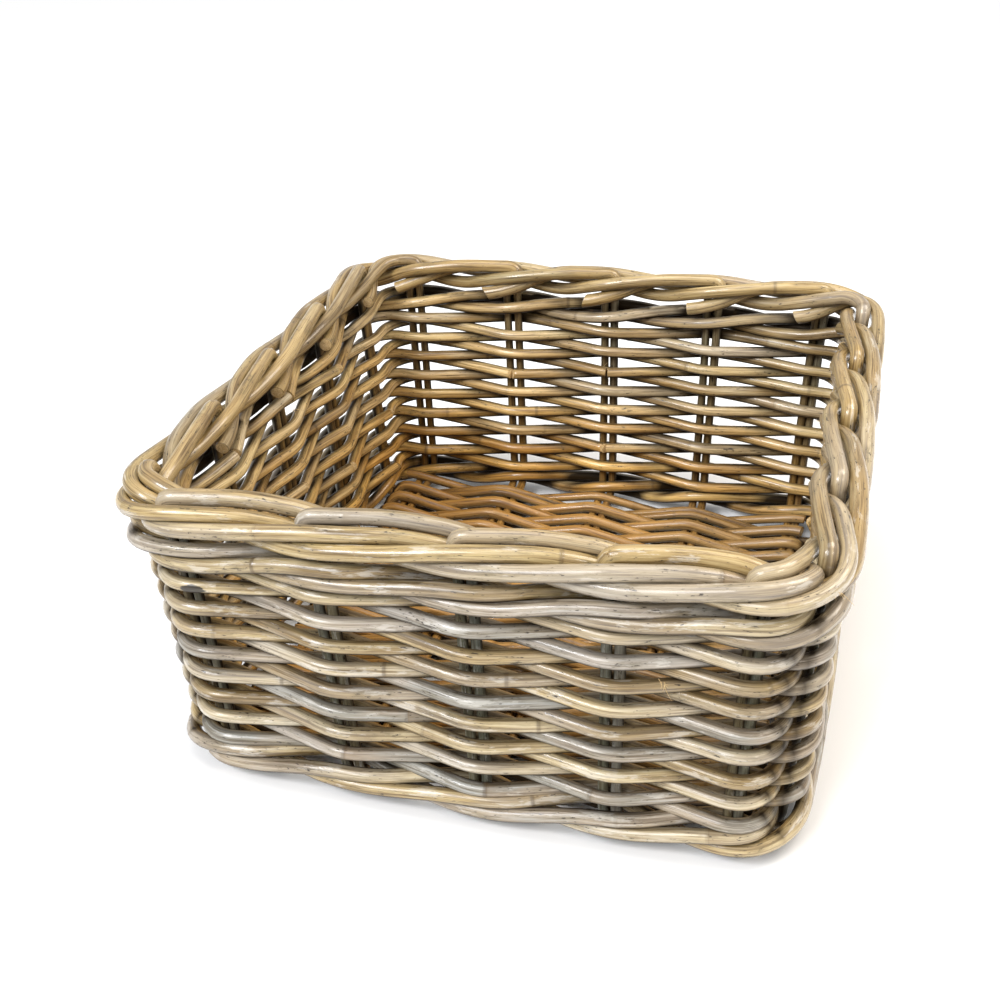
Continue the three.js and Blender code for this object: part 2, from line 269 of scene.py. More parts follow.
# %% [markdown]
# ## From the plan to a mesh
#
# A tube along a path could be extruded ring by ring in edit mode. A curve with a round bevel does
# the same work in one go, with a thickness at each point, so the canes of one piece become the
# splines of one curve, which is then converted to a mesh. The mesh comes out ring by ring, so the
# plan's values can be stored on its points as attributes for the finish.

# %% Sweep the canes of one piece
def picked(obj):
    """Selects this object alone and makes it the active one."""
    bpy.ops.object.select_all(action="DESELECT")
    obj.select_set(True)
    bpy.context.view_layer.objects.active = obj


def swept(name, canes, sides):
    curve = bpy.data.curves.new(name, "CURVE")
    curve.dimensions = "3D"
    curve.twist_mode = "MINIMUM"
    curve.bevel_depth = METRES  # so that a point's radius is in millimetres
    curve.bevel_resolution = (sides - 4) // 2
    for plan in canes:
        spline = curve.splines.new("POLY")
        count = len(plan["at"])
        spline.points.add(count - 1)
        places = np.column_stack([plan["middle"] * METRES, np.ones(count)])
        spline.points.foreach_set("co", places.ravel())
        spline.points.foreach_set("radius", plan["radius"])
        spline.use_smooth = True
    obj = bpy.data.objects.new(name, curve)
    bpy.context.scene.collection.objects.link(obj)
    picked(obj)
    bpy.ops.object.convert(target="MESH")
    return bpy.context.object


# %% [markdown]
# The tube is then pressed slightly oval, and its two end rings are tilted, because a cane is cut
# with side cutters and never quite square.
#
# Inside, the canes are a warm golden brown, and outside they have weathered to grey. The gold is
# partly the canes' own colour and partly painted: the warm bounce light and shade inside the
# basket. What decides it is the way that the surface faces and where it lies in the basket.
# Painting that by hand on sixty canes would take days, so it is worked out for each point, in two
# steps. The first says how the point lies: how far out of the wall's middle, and how far it faces
# outwards and up.

# %% How each point of a cane lies in the basket
FLOOR_TOP = 30.0  # what lies below this, and this far inside the walls, belongs to the floor
FLOOR_INSET = 16.0


def lie_of(points, outwards):
    """How far each point is out of the wall's middle, faces outwards and up, and if it's floor."""
    east, north, height = points.T
    sideways = np.abs(east) > np.abs(north)
    side = np.sign(np.where(sideways, east, north))
    outward = np.where(sideways, outwards[:, 0], outwards[:, 1]) * side
    reach = np.maximum(np.abs(east), np.abs(north)) - half_width(height)
    floor = (reach < -FLOOR_INSET) & (height < FLOOR_TOP)
    return reach, outward, outwards[:, 2], floor


def rising(values, start, full):
    """0 up to start, then rising evenly to 1 at full."""
    return np.clip((values - start) / (full - start), 0, 1)


# %% [markdown]
# The second step gives three values from 0 to 1. `indoors` is 0 outside and 1 inside; it is
# lowered towards the upper right, where light falls in, so the lit inside there is painted greyer
# than the shaded gold elsewhere. The second value is painted shade: it is high where two canes
# touch, in the middle of the wall, on what faces the stakes, inside the front wall, under the
# border's rods and low in the floor. The third is painted warm shade: it grows with how far down
# inside the basket a point lies, and there the gold is strongest.

# %% What the lie of a point does to its colour
INDOORS_DEPTH = 13.0  # over this depth in the wall, grey turns to gold
# painted light: where light falls in, the inside is made greyer, to the right and upwards
PAINTED_LIGHT_FROM, PAINTED_LIGHT_FULL = (-190.0, 70.0), (40.0, 130.0)  # to the right, and upwards
PAINTED_LIGHT_MOST = 0.75
SHADE_BEHIND_FRONT = 0.5  # inside the front wall, which is in its own shade
# painted warm shade deep inside: heights where it is full and where it has gone
DEEP_SHADE_FULL, DEEP_SHADE_NONE = 40.0, 150.0  # heights


def worn_and_shaded_by_place(points, outwards):
    east, north, height = points.T
    reach, outward, up, floor = lie_of(points, outwards)
    indoors = np.clip(0.5 - 0.8 * outward - reach / INDOORS_DEPTH, 0, 1)
    # painted light: the inside turns greyer towards the upper right, where light falls in, and keeps
    # the gold of the shade elsewhere
    painted_light = rising(east, *PAINTED_LIGHT_FROM) * rising(height, *PAINTED_LIGHT_FULL)
    indoors *= 1 - PAINTED_LIGHT_MOST * painted_light
    indoors = np.where(floor, np.clip(0.6 + up, 0, 1), indoors)
    # painted shade: darker on undersides, at the tops where the cane above touches, in the wall's
    # middle, on what faces the stakes and inside the front wall
    contact_shade = np.maximum(rising(-up, 0.2, 0.6), 0.6 * rising(up, 0.8, 1))
    middle = np.clip(1.1 - np.abs(reach) / 6, 0, 1) * np.clip(1 - np.abs(outward) * 0.6, 0, 1)
    shade_towards_stakes = np.clip(-outward * reach / 5, 0, 1)
    in_front = north < -0.8 * half_width(height)
    shade_behind_front = SHADE_BEHIND_FRONT * in_front * rising(-reach, 0, 4)
    shade_in_wall = np.maximum(np.maximum(contact_shade, middle), np.maximum(shade_towards_stakes, shade_behind_front))
    # painted shade under the border's rods, and low down in the floor
    painted_shade = np.where(height < BORDER_FOOT, shade_in_wall, 0.9 * rising(-up, 0.1, 1.1))
    painted_shade = np.where(floor, rising(-height, -15, -3), painted_shade)
    # painted warm shade: more golden and a little darker the lower a point lies inside the basket
    deep_shade = indoors * rising(-height, -DEEP_SHADE_NONE, -DEEP_SHADE_FULL)
    deep_shade *= np.clip(1.15 - (east + 100) / 400, 0.5, 1)  # less to the right, where light falls in
    return {"indoors": indoors, "painted_shade": painted_shade, "deep_shade": deep_shade}


# %% [markdown]
# The tube's points are moved and the values stored in one pass over the piece. `skin` is a place
# on the cane's own skin, in metres: how far along it, and where round it. The patterns of the
# finish read it, so they follow the cane through every bend.

# %% Shape the tube and store what the finish needs
def lean_of_cut(spokes, ahead, lean):
    """How far each point of an end ring moves along the cane when the cut leans."""
    ahead = ahead / np.linalg.norm(ahead)
    tilt = spokes @ spokes[0] / np.linalg.norm(spokes[0])
    return (lean * tilt)[:, None] * ahead


def skin_places(plan, angle):
    """Places on a cane's skin: along it, and round it at its mean thickness."""
    thick = plan["radius"].mean()
    along = np.repeat(plan["at"][:, None], len(angle), 1)
    across, up = thick * np.cos(angle), thick * np.sin(angle)
    places = np.stack([along, 0 * along + across, 0 * along + up], -1)
    return places.reshape(-1, 3) * METRES + plan["offset"]


def shaped(obj, canes, sides):
    mesh = obj.data
    flat = np.zeros(len(mesh.vertices) * 3)
    mesh.vertices.foreach_get("co", flat)
    rings = flat.reshape(-1, sides, 3) / METRES
    centres = rings.mean(1)
    spokes = rings - centres[:, None]
    angle = np.arange(sides) * 2 * math.pi / sides
    oval = np.concatenate([plan["oval"] for plan in canes])
    spokes *= (1 + oval[:, None] * np.cos(2 * angle)[None, :])[..., None]
    first = 0
    for plan in canes:
        last = first + len(plan["at"]) - 1
        for end, beside, lean in zip((first, last), (first + 1, last - 1), plan["slants"]):
            spokes[end] += lean_of_cut(spokes[end], centres[end] - centres[beside], lean)
        first = last + 1
    points = (centres[:, None] + spokes).reshape(-1, 3)
    outwards = (spokes / np.linalg.norm(spokes, axis=2)[..., None]).reshape(-1, 3)
    mesh.vertices.foreach_set("co", (points * METRES).ravel())
    skin = np.concatenate([skin_places(plan, angle) for plan in canes])
    stored = mesh.attributes.new("skin", "FLOAT_VECTOR", "POINT")
    stored.data.foreach_set("vector", skin.ravel())
    mark = np.repeat(np.concatenate([plan["mark"] for plan in canes]), sides, 0)
    stored = mesh.attributes.new("mark", "FLOAT_COLOR", "POINT")
    stored.data.foreach_set("color", mark.ravel())
    for name, values in worn_and_shaded_by_place(points, outwards).items():
        stored = mesh.attributes.new(name, "FLOAT", "POINT")
        stored.data.foreach_set("value", values)


# %% [markdown]
# The tubes are still open. In edit mode the open rings are selected as edges that have a face on
# one side only, and filled. An inset with a little depth gives each cut its worn edge, and the cut
# face gets the second material, where the pale wood inside the cane shows.

# %% Close the ends
WORN_EDGE = 0.00045  # metres
WORN_DEPTH = 0.0003
SHARP_ANGLE = math.radians(42)  # steeper edges stay sharp, which only the cuts have


def closed(obj, sides, materials, worn):
    for material in materials:
        obj.data.materials.append(material)
    picked(obj)
    bpy.ops.object.mode_set(mode="EDIT")
    bpy.ops.mesh.select_mode(type="EDGE")
    bpy.ops.mesh.select_all(action="DESELECT")
    bpy.ops.mesh.select_non_manifold(extend=False)
    bpy.ops.mesh.fill_holes(sides=sides)
    bpy.ops.mesh.select_mode(type="FACE")
    bpy.ops.mesh.select_all(action="SELECT")
    bpy.ops.object.mode_set(mode="OBJECT")
    for face in obj.data.polygons:
        face.select = len(face.vertices) > 4  # the caps
    bpy.ops.object.mode_set(mode="EDIT")
    bpy.ops.mesh.inset(thickness=worn, depth=min(worn, WORN_DEPTH))
    obj.active_material_index = 1
    bpy.ops.object.material_slot_assign()
    bpy.ops.mesh.select_all(action="SELECT")
    bpy.ops.mesh.normals_make_consistent(inside=False)
    bpy.ops.object.mode_set(mode="OBJECT")
    bpy.ops.object.shade_smooth_by_angle(angle=SHARP_ANGLE)
    obj.select_set(False)


# %% [markdown]
# Each piece of the picture stands for one solid of the imported part, which stays there for
# collision but is hidden. So every piece gets the same three things when it is made: the body that
# it rides on, the solid that it replaces, and its finish.

# %% Make one named piece from its canes
pieces = []


def piece(name, canes, sides, finish, replaced=None, worn=WORN_EDGE):
    obj = swept(name, canes, sides)
    shaped(obj, canes, sides)
    closed(obj, sides, (finish, cut_rattan), worn)
    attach(obj, "root")
    if replaced:
        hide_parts(replaced)
    pieces.append(obj)


# %% [markdown]
# ## The finish of rattan
#
# Unpeeled rattan has a hard, slightly glossy skin over long straight fibres. Soaked in mud and
# dried, it turns from straw to grey, unevenly: one cane is blue-grey, its neighbour straw. Shade in
# the hollows of the weave is painted into the colour as well. Last comes a thin clear lacquer. So
# the colour is a mix of a few tones, chosen by the cane's own value, streaked along the fibres,
# spotted with small dark pits, darkened with painted shade where canes touch, and darkened in a thin
# line at each growth ring. A clear coat gives the lacquer's sharp highlights.
#
# A picture of cane wrapped round the tubes could do it, but it would repeat, and this part uses no
# pictures. Noise that is stretched along the cane gives each cane a skin of its own.
#
# The finish is built up as the real one was: the wood's colour, its fibres, what weather and dirt
# laid over it together with painted shade, single blemishes, and the lacquer. Each of these is a
# small function below that adds its nodes and hands on the colour so far.

# %% Helpers for the materials
MIXED = {"data_type": "RGBA"}
MULTIPLIED = {"data_type": "RGBA", "blend_type": "MULTIPLY"}


def colour(code):
    """An sRGB hex colour as the linear values that a shader takes."""
    parts = [int(code[i:i + 2], 16) / 255 for i in (0, 2, 4)]
    linear = [v / 12.92 if v <= 0.04045 else ((v + 0.055) / 1.055) ** 2.4 for v in parts]
    return (*linear, 1.0)


def node(tree, kind, settings=(), links=()):
    """Adds a shader node. settings name its own values, links its sockets' values or sources."""
    new = tree.nodes.new(kind)
    for name, value in dict(settings).items():
        setattr(new, name, value)
    for name, value in dict(links).items():
        if isinstance(value, bpy.types.NodeSocket):
            tree.links.new(value, new.inputs[name])
        else:
            new.inputs[name].default_value = value
    return new


def spread_tones(ramp, tones):
    """Spreads the tones evenly over a colour ramp."""
    stops = ramp.color_ramp.elements
    while len(stops) < len(tones):
        stops.new(0.5)
    for i, tone in enumerate(tones):
        stops[i].position = i / (len(tones) - 1)
        stops[i].color = colour(tone)


def blank_material(name):
    material = bpy.data.materials.new(name)
    material.use_nodes = True
    material.node_tree.nodes.clear()
    return material


# %% [markdown]
# Each pattern is noise with its own number of repeats to a metre, along the cane and round it. The
# sizes are those of real cane: fibres about 0.6 mm wide that show for 20 mm or so, bands of
# another grey 2 mm wide, weathering in patches about 75 mm long, chalky film in streaks 7 mm wide,
# mud in flecks 4 mm wide, and pits 1 mm across. The last two numbers of each row are the noise's
# detail and roughness.

# %% The patterns on the skin
PATTERNS = {
    "fibres": ((45, 1700, 1700), 3.0, 0.65),
    "bands": ((16, 480, 480), 2.0, 0.5),
    "patches": ((13, 60, 60), 3.0, 0.55),
    "chalk": ((30, 150, 150), 5.0, 0.7),
    "mud": ((45, 260, 260), 5.0, 0.7),
    "pits": ((300, 1100, 1100), 2.0, 0.5),
}


def patterns_on_skin(tree):
    skin = node(tree, "ShaderNodeAttribute", {"attribute_name": "skin"}).outputs["Vector"]
    seen = {}
    for pattern, (repeats, detail, rough) in PATTERNS.items():
        links = {"Vector": skin, "Scale": repeats}
        place = node(tree, "ShaderNodeMapping", {"vector_type": "POINT"}, links).outputs["Vector"]
        links = {"Vector": place, "Scale": 1.0, "Detail": detail, "Roughness": rough}
        seen[pattern] = node(tree, "ShaderNodeTexNoise", links=links).outputs["Fac"]
    return seen


# %% [markdown]
# The shader reads the values that were stored on the points by the names that they have there. The
# four of the cane's plan share one colour attribute, so they are taken apart first.

# %% The values stored on the points
def stored_values(tree):
    stored = {}
    for name in ("indoors", "painted_shade", "deep_shade"):
        stored[name] = node(tree, "ShaderNodeAttribute", {"attribute_name": name}).outputs["Fac"]
    mark = node(tree, "ShaderNodeAttribute", {"attribute_name": "mark"}).outputs
    parts = node(tree, "ShaderNodeSeparateColor", links={"Color": mark["Color"]}).outputs
    stored.update(tone=parts["Red"], ring=parts["Green"], stain=parts["Blue"], film=mark["Alpha"])
    return stored


# %% [markdown]
# Under everything lies the wood's own colour. The cane's tone wanders a little with the weathering
# and picks a colour from a ramp of greys outside and from a ramp of golds inside, which are partly
# painted warm bounce light and shade. Multiplying by a pale yellow then paints warm shade deep
# inside: more golden, without making it lighter.

# %% The colour of the wood, with painted warm shade deep inside
TONE_WANDER = 0.16
# pale yellow that paints warm shade deep inside
DEEP_SHADE_GOLD = "fbe2b0"


def wood_colour_and_warm_shade(tree, stored, seen, outside, inside):
    links = {"Value": seen["patches"], "From Min": 0.3, "From Max": 0.7}
    links.update({"To Min": -TONE_WANDER, "To Max": TONE_WANDER})
    wander = node(tree, "ShaderNodeMapRange", links=links).outputs["Result"]
    settings = {"operation": "ADD", "use_clamp": True}
    tone = node(tree, "ShaderNodeMath", settings, {0: stored["tone"], 1: wander}).outputs[0]
    colours = []
    for tones in (outside, inside):
        ramp = node(tree, "ShaderNodeValToRGB", links={"Fac": tone})
        spread_tones(ramp, tones)
        colours.append(ramp.outputs["Color"])
    links = {0: stored["indoors"], 6: colours[0], 7: colours[1]}
    wood = node(tree, "ShaderNodeMix", MIXED, links).outputs[2]
    links = {0: stored["deep_shade"], 6: wood, 7: colour(DEEP_SHADE_GOLD)}
    return node(tree, "ShaderNodeMix", MULTIPLIED, links).outputs[2]


# %% [markdown]
# Fibres and bands don't change the hue, only how bright it is, so each multiplies the colour so far
# by a ramp from grey to white.

# %% Fibres and bands
STRIPES = (  # the pattern, where its ramp starts and ends, and the ramp
    ("fibres", 0.32, 0.64, ("a0968a", "ebe6dc", "ffffff")),
    ("bands", 0.32, 0.66, ("aba192", "efe9df", "ffffff")),
)


def striped(tree, base, seen):
    for pattern, low, high, tones in STRIPES:
        links = {"Value": seen[pattern], "From Min": low, "From Max": high}
        share = node(tree, "ShaderNodeMapRange", links=links).outputs["Result"]
        ramp = node(tree, "ShaderNodeValToRGB", links={"Fac": share})
        spread_tones(ramp, tones)
        links = {0: 1.0, 6: base, 7: ramp.outputs["Color"]}
        base = node(tree, "ShaderNodeMix", MULTIPLIED, links).outputs[2]
    return base


# %% [markdown]
# A few blemishes sit at one place each: a black knot, some stretches with more pits than usual, and
# a split where the pale wood shows. They are found by distance from a place in the basket, through
# Object coordinates, and the mud pattern makes their edges ragged.

# %% Single blemishes
SPOTS = (  # what, its middle and its reach in millimetres
    ("knot", (-141.0, -188.0, 135.5), (11.0, 12.0, 4.6)),
    ("speckled", (115.0, -189.0, 137.0), (22.0, 12.0, 5.0)),
    ("speckled", (-20.0, -189.0, 133.0), (20.0, 12.0, 5.0)),
    ("speckled", (158.0, 150.0, 73.0), (16.0, 16.0, 7.0)),
    ("split", (108.5, -190.0, 121.5), (7.0, 12.0, 4.0)),
)
SPOT_REACH = 0.75


def blemishes(tree, seen):
    place = node(tree, "ShaderNodeTexCoord").outputs["Object"]
    spots = {}
    for what, middle, reach in SPOTS:
        centre, radii = ([value * METRES for value in values] for values in (middle, reach))
        far = place
        for operation, by in (("SUBTRACT", centre), ("DIVIDE", radii)):
            links = {0: far, 1: by}
            far = node(tree, "ShaderNodeVectorMath", {"operation": operation}, links).outputs[0]
        far = node(tree, "ShaderNodeVectorMath", {"operation": "LENGTH"}, {0: far}).outputs["Value"]
        links = {0: SPOT_REACH, 1: far}
        near = node(tree, "ShaderNodeMath", {"operation": "SUBTRACT"}, links).outputs[0]
        settings = {"operation": "ADD", "use_clamp": True}
        ragged = node(tree, "ShaderNodeMath", settings, {0: near, 1: seen["mud"]}).outputs[0]
        if what in spots:
            links = {0: spots[what], 1: ragged}
            ragged = node(tree, "ShaderNodeMath", {"operation": "MAXIMUM"}, links).outputs[0]
        spots[what] = ragged
    return spots


# %% [markdown]
# Pits come in clusters: their noise gets a share of the mud's and of the speckled places' before a
# threshold picks the pits out.

# %% Pits
PITS_IN_MUD = 0.6
PITS_IN_SPECKLES = 0.13


def clustered_pits(tree, seen, spots):
    pits = seen["pits"]
    for source, share in ((seen["mud"], PITS_IN_MUD), (spots["speckled"], PITS_IN_SPECKLES)):
        links = {0: source, 1: share}
        more = node(tree, "ShaderNodeMath", {"operation": "MULTIPLY"}, links).outputs[0]
        pits = node(tree, "ShaderNodeMath", {"operation": "ADD"}, {0: pits, 1: more}).outputs[0]
    return pits


# %% [markdown]
# What weather, hands and time left lies over the wood, from the widest film to the smallest mark,
# and with it painted shade, nearly black, in the hollows of the weave. Each layer starts to show
# where its source passes a first value, is strongest at a second, and never covers more than its
# share. The grey film and the chalk are found outdoors only.

# %% Films, marks and painted shade
GREY_FILM = "b4b2b0"
CHALK = "e6e3db"
STAIN = "7c6038"
DIRT = "5f5537"
# near-black painted shade for the hollows of the weave
PAINTED_SHADE_COLOUR = "21180f"
PIT = "2b1f15"
DARK_LINE = "4d3c27"
PALE_WOOD = "eadfc0"
KNOT = "15110d"


def weathered_and_shaded(tree, base, stored, seen, spots, pits):
    links = {0: 1.0, 1: stored["indoors"]}
    outdoors = node(tree, "ShaderNodeMath", {"operation": "SUBTRACT"}, links).outputs[0]
    film, chalk = (
        node(tree, "ShaderNodeMath", {"operation": "MULTIPLY"}, {0: outdoors, 1: source}).outputs[0]
        for source in (stored["film"], seen["chalk"])
    )
    for source, low, high, most, tint in (
        (film, 0.45, 1.0, 0.35, GREY_FILM),
        (chalk, 0.57, 0.62, 0.32, CHALK),
        (stored["stain"], 0.10, 0.95, 0.45, STAIN),
        (seen["mud"], 0.54, 0.70, 0.60, DIRT),
        # painted shade: nearly black where canes touch, in the wall's middle and under the rods
        (stored["painted_shade"], 0.2, 0.85, 0.97, PAINTED_SHADE_COLOUR),
        (pits, 0.97, 1.04, 0.90, PIT),
        (stored["ring"], 0.10, 0.95, 0.70, DARK_LINE),
        (spots["split"], 0.62, 0.72, 0.75, PALE_WOOD),
        (spots["knot"], 0.60, 0.68, 0.93, KNOT),
    ):
        links = {"Value": source, "From Min": low, "From Max": high, "To Max": most}
        share = node(tree, "ShaderNodeMapRange", links=links).outputs["Result"]
        links = {0: share, 6: base, 7: colour(tint)}
        base = node(tree, "ShaderNodeMix", MIXED, links).outputs[2]
    return base


# %% [markdown]
# Last, the surface. The skin is a little rough along its fibres and dented at the pits, mud makes
# it duller, and the lacquer is a clear coat: a thin second gloss over the wood's own. Where shade
# is painted, both the coat and the gloss are taken away too, so the painted shade has no
# highlights. Lacquer's and cane's IOR is about 1.5, which is what the shader starts from.

# %% Gloss, dents and lacquer
DENT_DEPTH = 0.9
BUMP_STRENGTH = 0.28
BUMP_HEIGHT = 0.0004  # metres
COAT_ROUGHNESS = 0.08
# the second is the gloss that is left where shade is painted in full
SHINE, SHADE_SHINE = 0.5, 0.08
SMOOTHER, DULLER = 0.08, 0.16  # how much mud's absence and its presence change the roughness


def lacquered(tree, base, stored, seen, pits, roughness, coat):
    links = {"Value": pits, "From Min": 0.94, "From Max": 1.06, "To Max": -DENT_DEPTH}
    dents = node(tree, "ShaderNodeMapRange", links=links).outputs["Result"]
    links = {0: seen["fibres"], 1: dents}
    height = node(tree, "ShaderNodeMath", {"operation": "ADD"}, links).outputs[0]
    links = {"Height": height, "Strength": BUMP_STRENGTH, "Distance": BUMP_HEIGHT}
    bump = node(tree, "ShaderNodeBump", links=links)
    values = {"Base Color": base, "Normal": bump.outputs["Normal"], "Coat Roughness": COAT_ROUGHNESS}
    for socket, source, start, full, low, high in (
        ("Roughness", seen["mud"], 0.35, 0.70, roughness - SMOOTHER, roughness + DULLER),
        # painted shade also takes the lacquer and the gloss away
        ("Coat Weight", stored["painted_shade"], 0.0, 1.0, coat, 0.0),
        ("Specular IOR Level", stored["painted_shade"], 0.0, 1.0, SHINE, SHADE_SHINE),
    ):
        links = {"Value": source, "From Min": start, "From Max": full, "To Min": low, "To Max": high}
        values[socket] = node(tree, "ShaderNodeMapRange", links=links).outputs["Result"]
    shader = node(tree, "ShaderNodeBsdfPrincipled", links=values)
    node(tree, "ShaderNodeOutputMaterial", links={"Surface": shader.outputs["BSDF"]})


# %% [markdown]
# The layers are now put together in the order in which the real ones came: first the patterns and
# the stored values, then wood, stripes and weather, with the painted shade among the weather, and
# the lacquer on top. Only tones, roughness and lacquer differ from one kind of cane to the next, so
# one function makes all four finishes.

# %% One finish from all of its layers
def rattan(name, outside, inside, roughness, coat):
    material = blank_material(name)
    tree = material.node_tree
    seen = patterns_on_skin(tree)
    stored = stored_values(tree)
    spots = blemishes(tree, seen)
    pits = clustered_pits(tree, seen, spots)
    base = wood_colour_and_warm_shade(tree, stored, seen, outside, inside)
    base = striped(tree, base, seen)
    base = weathered_and_shaded(tree, base, stored, seen, spots, pits)
    lacquered(tree, base, stored, seen, pits, roughness, coat)
    print("Material", name, "with", len(tree.nodes), "nodes")
    return material


# %% [markdown]
# Weavers, border, stakes and floor are the same rattan with other tones. Each has a row of greys or
# straws for outside and a row of golds for inside. Stakes were never bleached, so they are darker
# and greener. The last two numbers are the roughness and how much lacquer there is: most on what
# hands touch, least on the stakes behind the weave.

# %% The finishes of the four kinds of cane
# the golds inside are partly painted warm bounce light and shade
OUTSIDE_TONES = ("a2a3a0", "b7aea3", "c7bda8", "d5c8a6", "bda97e", "b0a490", "a18d64", "ccbf9e")
INSIDE_TONES = ("d6c8a8", "e3cfa6", "edd49e", "f4dfaa", "e2c48a", "c9aa72", "d6cbb2")
BORDER_OUTSIDE = ("aa9f8a", "b5a688", "beac80", "c2af82", "ae976a", "a9997a")
BORDER_INSIDE = ("ab9a78", "baa47a", "c5af82", "b49a68", "a39a75")
STAKE_OUTSIDE = ("7c837c", "8c8d7c", "989079", "867c62")
STAKE_INSIDE = ("a08760", "b39866", "a38650")
FLOOR_OUTSIDE = ("9d8c6c", "ae9870", "94804f")
FLOOR_INSIDE = ("b09565", "c0a26f", "ceb07a", "a78857")
weaver_rattan = rattan("weathered_rattan_weaver", OUTSIDE_TONES, INSIDE_TONES, 0.38, 0.45)
border_rattan = rattan("thick_rattan_border", BORDER_OUTSIDE, BORDER_INSIDE, 0.34, 0.5)
stake_rattan = rattan("dark_rattan_stake", STAKE_OUTSIDE, STAKE_INSIDE, 0.5, 0.2)
floor_rattan = rattan("golden_rattan_floor", FLOOR_OUTSIDE, FLOOR_INSIDE, 0.44, 0.35)

# %% [markdown]
# Where a cane is cut, its inside shows: pale, dull wood full of pores, which are the cut fibres
# seen end on. They are about 0.3 mm across and evenly scattered, and the cut keeps some dirt.

# %% The finish of a cut end
PORE_REPEATS = 2600
SMUDGE_REPEATS = 420
PORE_BUMP = 0.6
PORE_DEPTH = 0.0003  # metres
CUT_ROUGHNESS = 0.75
PORE_TONES = ("7d6038", "c6a877", "e2cc9e", "ecdcb8")
SMUDGE_TONES = ("806a4a", "f2ebdf", "ffffff")
cut_rattan = blank_material("cut_rattan_end")
tree = cut_rattan.node_tree
skin = node(tree, "ShaderNodeAttribute", {"attribute_name": "skin"}).outputs["Vector"]
cells = node(tree, "ShaderNodeTexVoronoi", links={"Vector": skin, "Scale": PORE_REPEATS})
pores = node(tree, "ShaderNodeValToRGB", links={"Fac": cells.outputs["Distance"]})
spread_tones(pores, PORE_TONES)
links = {"Vector": skin, "Scale": SMUDGE_REPEATS, "Detail": 3.0}
smudge = node(tree, "ShaderNodeTexNoise", links=links)
smudges = node(tree, "ShaderNodeValToRGB", links={"Fac": smudge.outputs["Fac"]})
spread_tones(smudges, SMUDGE_TONES)
links = {0: 1.0, 6: pores.outputs["Color"], 7: smudges.outputs["Color"]}
cut_colour = node(tree, "ShaderNodeMix", MULTIPLIED, links).outputs[2]
links = {"Height": cells.outputs["Distance"], "Strength": PORE_BUMP, "Distance": PORE_DEPTH}
bump = node(tree, "ShaderNodeBump", links=links)
links = {"Base Color": cut_colour, "Roughness": CUT_ROUGHNESS, "Normal": bump.outputs["Normal"]}
shader = node(tree, "ShaderNodeBsdfPrincipled", links=links)
node(tree, "ShaderNodeOutputMaterial", links={"Surface": shader.outputs["BSDF"]})
print("Cut ends with", len(tree.nodes), "nodes")

# %% [markdown]
# ## The stakes
#
# Ten pairs of thin canes cross in the floor: five from the front wall to the back wall, and five
# from side to side, woven over and under them. A pair of the front wall goes down the wall, bends,
# crosses the floor and goes up the back wall. The rest of the basket hangs on these bends.

# %% The path of a stake
STAKE_DIAMETER = 6.0
STAKE_PAIR_GAP = 1.3
STAKE_BEND = 9.0
HALF_PAIR = (STAKE_DIAMETER + STAKE_PAIR_GAP) / 2
STAKE_TOP = 174.0  # the head is inside the thick rod that starts there
CROSS_STAKE_LEVEL = 10.34  # heights of the stakes' middle lines in the floor
SIDE_STAKE_LEVEL = 2.43
SIDE_STAKE_OVER = 17.17
BEND_TURNS = np.linspace(0, math.pi / 2, 7)
WALL_STEPS = 24
CROSSING_BEND = 4.0


def wall_line(pair_number, offset, low, high):
    """A stake's line up its wall, from low to high, beside the middle of its pair."""
    z = np.linspace(low, high, WALL_STEPS)
    along = pair_number + offset / pair_pitch(z)
    return wall_place(along, 0 * z, z)


def woven_crossing(start, inward, span, level, over_level):
    """A side stake's places in the floor: over every second pair and under the others."""
    places = []
    for met in np.arange(-LAST_PAIR, LAST_PAIR + 1):
        place = start + inward * (span / 2 + met * pair_pitch(CROSS_STAKE_LEVEL))
        height = over_level if abs(met) % 2 == 1 else level
        for beside in (-HALF_PAIR, HALF_PAIR):
            places.append((place + beside * inward) * (1, 1, 0) + (0, 0, height))
    return np.array(places)


def stake_path(front_pair, back_pair, offset, level, over_level):
    bend_top = level + STAKE_BEND
    front = wall_line(front_pair, offset, bend_top, STAKE_TOP)[::-1]
    back = wall_line(back_pair, -offset, bend_top, STAKE_TOP)
    inward = (back[0] - front[-1]) / np.linalg.norm(back[0] - front[-1])
    down = np.array([0, 0, -1.0])
    inner, outer = (1 - np.cos(BEND_TURNS))[:, None], np.sin(BEND_TURNS)[:, None]
    first_bend = front[-1] + STAKE_BEND * (inner * inward + outer * down)
    last_bend = (back[0] + STAKE_BEND * (outer * down - inner * inward))[::-1]
    parts = [front, first_bend[1:], last_bend[:-1], back]
    if over_level != level:
        span = np.linalg.norm(last_bend[0] - first_bend[-1])
        parts.insert(2, woven_crossing(first_bend[-1], inward, span, level, over_level))
    return rounded(np.concatenate(parts), CROSSING_BEND)


# %% [markdown]
# The two stakes of a pair lie side by side all the way. Places are counted anticlockwise in every
# wall, so a stake that is ahead of its pair's middle in the first wall is behind it in the far one.
# Stakes are never quite straight, so each sways a little in its wall, but not at the foot, where
# the wale holds it.

# %% Make the stakes
STAKE_SIDES = 12
STAKE_MESH_STEP = 7.0  # from one ring of points to the next
STAKE_THICKNESSES = (0.94, 1.02)  # shares of the usual diameter
STAKE_SWAY, STAKE_SWAY_WAVE = 0.45, 60
SWAY_FREE = 40.0  # from this height up a stake sways fully

